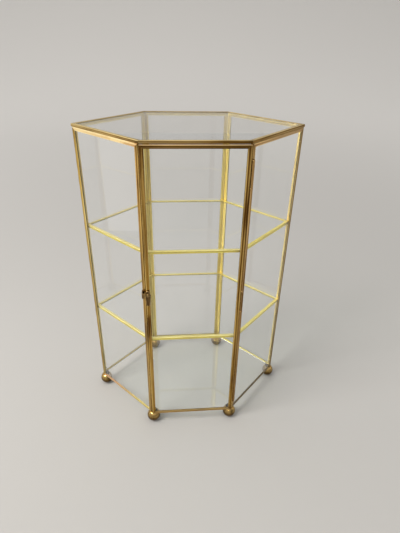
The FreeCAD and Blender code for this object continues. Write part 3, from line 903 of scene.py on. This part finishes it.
# Latch. A flat button stamped from sheet turns on a shouldered rivet in the door's left stile; its
# short arm goes behind a keeper, which is a strip folded in three and soldered to the left post.
OUT = np.array([0.0, -1.0, 0.0])
latch_brass = brass_finish(
    "latch_brass",
    bright=(0.62, 0.42, 0.18), body=(0.11, 0.06, 0.022), stain_and_shade=(0.03, 0.016, 0.006),
    streaks=0.4, tarnish_and_shade=0.6, polish=0.24,
)
rivet_low, rivet_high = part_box("latch_rivet")
rivet_middle = (rivet_low + rivet_high) / 2
rivet_seat = np.array([rivet_middle.x, rivet_high.y, rivet_middle.z])
rivet_radius = 0.8 * MM
rivet_shoulder_radius = 1.4 * MM
rivet_shoulder = 0.3 * MM
rivet_head_radius = 1.7 * MM
rivet_head_height = 0.8 * MM
rivet_head_skirt = 0.15 * rivet_head_height
rivet_head_under = 0.94 * rivet_head_radius
rivet_most_rub = 0.8
rivet_reach = rivet_high.y - rivet_low.y
rivet_neck = rivet_reach - rivet_head_height
rivet_dome = rivet_head_skirt + (rivet_head_height - rivet_head_skirt) * np.sin(dome)
# The rivet's profile: a wide shoulder, a narrow neck that holds the button, and a domed head.
rivet_profile = np.concatenate([
    [[rivet_shoulder_radius, 0], [rivet_shoulder_radius, rivet_shoulder]],
    [[rivet_radius, rivet_shoulder], [rivet_radius, rivet_neck], [rivet_head_under, rivet_neck]],
    np.stack([rivet_head_radius * np.cos(dome), rivet_neck + rivet_dome], 1),
])
rivet_rub = np.linspace(0, rivet_most_rub, len(rivet_profile))
rivet = turned(rivet_profile, rivet_seat, OUT, rivet_rub, draw_for("latch_rivet"))
grid_piece("latch_rivet_turned", [rivet], latch_brass, "door", ["latch_rivet"])

hub_radius = 2.5 * MM
tip_radius = 2.0 * MM
tip_reach = 4.7 * MM
thumb_radius = 1.9 * MM
thumb_reach = 11.5 * MM
hole_clearance = 0.05 * MM
hole_radius = rivet_radius + hole_clearance
tip_circles = 40
thumb_circles = 120
outline_points = 49


def button_outline(inset):
    """The button's edge as a ring: at each height its half width is that of the widest of all the
    circles carried from the hub to the tip and to the thumb end, with the inset off each radius."""
    middle = np.concatenate([
        np.linspace(0, tip_reach - tip_radius, tip_circles),
        np.linspace(0, thumb_radius - thumb_reach, thumb_circles),
    ])
    radius = np.concatenate([
        np.linspace(hub_radius, tip_radius, tip_circles),
        np.linspace(hub_radius, thumb_radius, thumb_circles),
    ])
    swing = np.linspace(0, np.pi, outline_points)
    low, high = inset - thumb_reach, tip_reach - inset
    height = low + (high - low) * (1 - np.cos(swing)) / 2
    square = (radius - inset) ** 2 - (height[:, None] - middle) ** 2
    half = np.sqrt(np.maximum(square.max(1), 0))
    ring = np.stack([half, height], 1)
    return np.concatenate([ring, (ring * [-1, 1])[::-1][1:-1]])


# The button's rings go from its hole over the front, round the eased edge and over the back to the
# hole again.
button_low, button_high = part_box("latch_button")
button_sheet = button_high.y - button_low.y
edge_insets = np.array([0.5, 0.16, 0.04, 0.0, 0.0, 0.08]) * MM
edge_heights = np.array([1.0, 0.94, 0.82, 0.65, 0.2, 0.0])
edge_rings = np.stack([button_outline(inset) for inset in edge_insets])
full_ring = button_outline(0.0)
hole_ring = unit(full_ring) * hole_radius
button_rings = np.concatenate([hole_ring[None], edge_rings, hole_ring[None]])
button_height = np.concatenate([[1.0], edge_heights, [0.0]]) * button_sheet
button_back = np.array([rivet_seat[0], button_high.y, rivet_seat[2]])
button_points = button_rings[..., :1] * ACROSS + button_rings[..., 1:] * UP
button_points = button_back + button_points + OUT * button_height[:, None, None]
button_girth = 10 * MM
button_run = np.linspace(0, button_girth, len(button_rings) + 1)
button_rub = np.array([0.1, 0.2, 0.8, 1.0, 0.7, 0.2, 0.1, 0.0])[:, None]
button = closed_grid(
    button_points, button_run, ring_lengths(full_ring), button_rub, 0.0, draw_for("latch_button")
)
grid_piece(
    "latch_button_stamped", [button], latch_brass, "latch", ["latch_button"],
    looped=True,
)

# The keeper's path: a foot along the left front wall's outer face, an arm that comes forward, and a
# lip that crosses in front of the button's short arm.
keeper_low, keeper_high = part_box("latch_keeper")
keeper_half = 0.3 * MM
keeper_foot_set = 0.6 * MM
keeper_lip_set = 1.0 * MM
left_face = inner_plan[FRONT_LEFT] + plan_out[LEFT] * (channel_depth + keeper_half)
arm_x = keeper_low.x + keeper_half
lip_y = keeper_low.y + keeper_half
foot_start = left_face - plan_along[LEFT] * keeper_foot_set
foot_fold = left_face + plan_along[LEFT] * (arm_x - left_face[0]) / plan_along[LEFT][0]
lip_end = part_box("door_latch_stile")[0].x - keeper_lip_set
keeper_corners = np.array([foot_start[:2], foot_fold[:2], [arm_x, lip_y], [lip_end, lip_y]])
keeper_path = folded(keeper_corners, sheet_bend)
keeper = sheet_strip(
    keeper_path, 2 * keeper_half, UP * keeper_low.z, ACROSS, DEEP, UP,
    keeper_high.z - keeper_low.z, draw_for("latch_keeper"),
)
grid_piece(
    "latch_keeper_folded", [keeper], latch_brass, "cabinet", ["latch_keeper"]
)

# Studio: a pale paper sweep that lies flat under the case and curves up behind it, a soft sky that
# is stronger above and to the left, one large lamp at the upper left, two faint cards beside the
# case that the glass mirrors, and the camera's view.
sweep_half_width = 4.0
sweep_front = -3.5
sweep_bend_start = 1.3
sweep_bend_radius = 1.1
sweep_end_angle = np.radians(75)
sweep_bend_points = 25
sweep_flat_points = 29
sweep_columns = 9
floor_near = (0.46, 0.45, 0.435, 1)
floor_far = (0.68, 0.665, 0.645, 1)
pale_from = 0.25
pale_to = 2.0
paper_roughness = 0.8
paper_gloss = 0.2
# The sweep's line is straight from the front and then part of a circle, and it is carried across.
sweep_turn = np.linspace(0, sweep_end_angle, sweep_bend_points)
sweep_way = np.linspace(sweep_front, sweep_bend_start, sweep_flat_points, endpoint=False)
sweep_flat = np.stack([sweep_way, np.zeros(sweep_flat_points)], 1)
sweep_rise = sweep_bend_radius * np.stack([np.sin(sweep_turn), 1 - np.cos(sweep_turn)], 1)
sweep_line = np.concatenate([sweep_flat, sweep_rise + np.array([sweep_bend_start, 0.0])])
sweep_sides = np.linspace(-sweep_half_width, sweep_half_width, sweep_columns)
sweep_points = np.empty((len(sweep_line), sweep_columns, 3))
sweep_points[..., 0] = sweep_sides
sweep_points[..., 1:] = sweep_line[:, None]
row, place = np.mgrid[0 : len(sweep_line) - 1, 0 : sweep_columns - 1]
corner = row * sweep_columns + place
sweep_faces = np.stack([corner, corner + 1, corner + sweep_columns + 1, corner + sweep_columns], -1)
floor_mesh = bpy.data.meshes.new("floor")
floor_mesh.from_pydata(
    sweep_points.reshape(-1, 3).tolist(), [], sweep_faces.reshape(-1, 4).tolist()
)
floor_mesh.shade_smooth()
floor = bpy.data.objects.new("floor", floor_mesh)
bpy.context.scene.collection.objects.link(floor)
floor_paint = bpy.data.materials.new("floor_paint")
floor_paint.use_nodes = True
tree = floor_paint.node_tree
matt = tree.nodes["Principled BSDF"]
here = node_in(tree, "ShaderNodeTexCoord", {}).outputs["Object"]
away = node_in(tree, "ShaderNodeVectorMath", {0: here}, operation="LENGTH").outputs["Value"]
far = spread_of(tree, away, low=pale_from, high=pale_to)
paled = colours_mixed(tree, far, floor_near, floor_far)
tree.links.new(paled, matt.inputs["Base Color"])
matt.inputs["Roughness"].default_value = paper_roughness
matt.inputs["Specular IOR Level"].default_value = paper_gloss
floor_mesh.materials.append(floor_paint)

sky_level = 0.36
sky_rise = 0.5
sky_lean = -0.2
sky_colour = (1.0, 0.985, 0.96, 1)
world = bpy.data.worlds.new("studio")
bpy.context.scene.world = world
world.use_nodes = True
tree = world.node_tree
sky = node_in(tree, "ShaderNodeTexCoord", {}).outputs["Generated"]
parts = node_in(tree, "ShaderNodeSeparateXYZ", {0: sky}).outputs
upward = maths(tree, "MULTIPLY", spread_of(tree, parts["Z"], low=0.0, high=0.9), sky_rise)
sideways = maths(tree, "MULTIPLY", parts["X"], sky_lean)
level = maths(tree, "ADD", maths(tree, "ADD", upward, sideways), sky_level)
tree.links.new(level, tree.nodes["Background"].inputs["Strength"])
tree.nodes["Background"].inputs["Color"].default_value = sky_colour
case_middle = Vector((0, 0, 0.15))
lamp_colour = (1.0, 0.97, 0.93)


def panel_lamp(name, place, width, height, watts):
    """A flat lamp that faces the case's middle, and shows in reflections but not through glass."""
    data = bpy.data.lights.new(name, "AREA")
    data.shape = "RECTANGLE"
    data.size = width
    data.size_y = height
    data.energy = watts
    data.color = lamp_colour
    lamp = bpy.data.objects.new(name, data)
    lamp.location = place
    lamp.visible_transmission = False
    lamp.rotation_euler = (case_middle - lamp.location).to_track_quat("-Z", "Y").to_euler()
    bpy.context.scene.collection.objects.link(lamp)


panel_lamp("soft_lamp", place=(-0.95, -0.55, 1.35), width=0.7, height=0.7, watts=21.0)
panel_lamp("left_card", place=(-0.45, -0.02, 0.2), width=0.14, height=0.34, watts=0.1)
panel_lamp("right_card", place=(0.45, -0.02, 0.2), width=0.14, height=0.34, watts=0.1)

# The view's three directions come from the yaw, then the pitch, then a roll about the sight line.
camera_at = Vector((-25.341, -376.56, 375.866)) * MM
camera_yaw, camera_pitch, camera_roll = np.radians([5.554, 29.885, 1.354])
focal_pixels, frame_height = 412.834, 533
nearest_seen = 0.01
level_ahead = Vector((math.sin(camera_yaw), math.cos(camera_yaw), 0))
forward = level_ahead * math.cos(camera_pitch) - Vector(UP) * math.sin(camera_pitch)
level_right = Vector((math.cos(camera_yaw), -math.sin(camera_yaw), 0))
level_up = level_right.cross(forward)
right = level_right * math.cos(camera_roll) + level_up * math.sin(camera_roll)
above = level_up * math.cos(camera_roll) - level_right * math.sin(camera_roll)
lens = bpy.data.cameras.new("camera")
lens.lens = focal_pixels * lens.sensor_width / frame_height
lens.clip_start = nearest_seen
camera = bpy.data.objects.new("camera", lens)
bpy.context.scene.collection.objects.link(camera)
camera_turn = Matrix((right, above, -forward)).transposed().to_quaternion()
camera.matrix_world = Matrix.LocRotScale(camera_at, camera_turn, None)
bpy.context.scene.camera = camera
bpy.context.scene.view_settings.view_transform = "Standard"
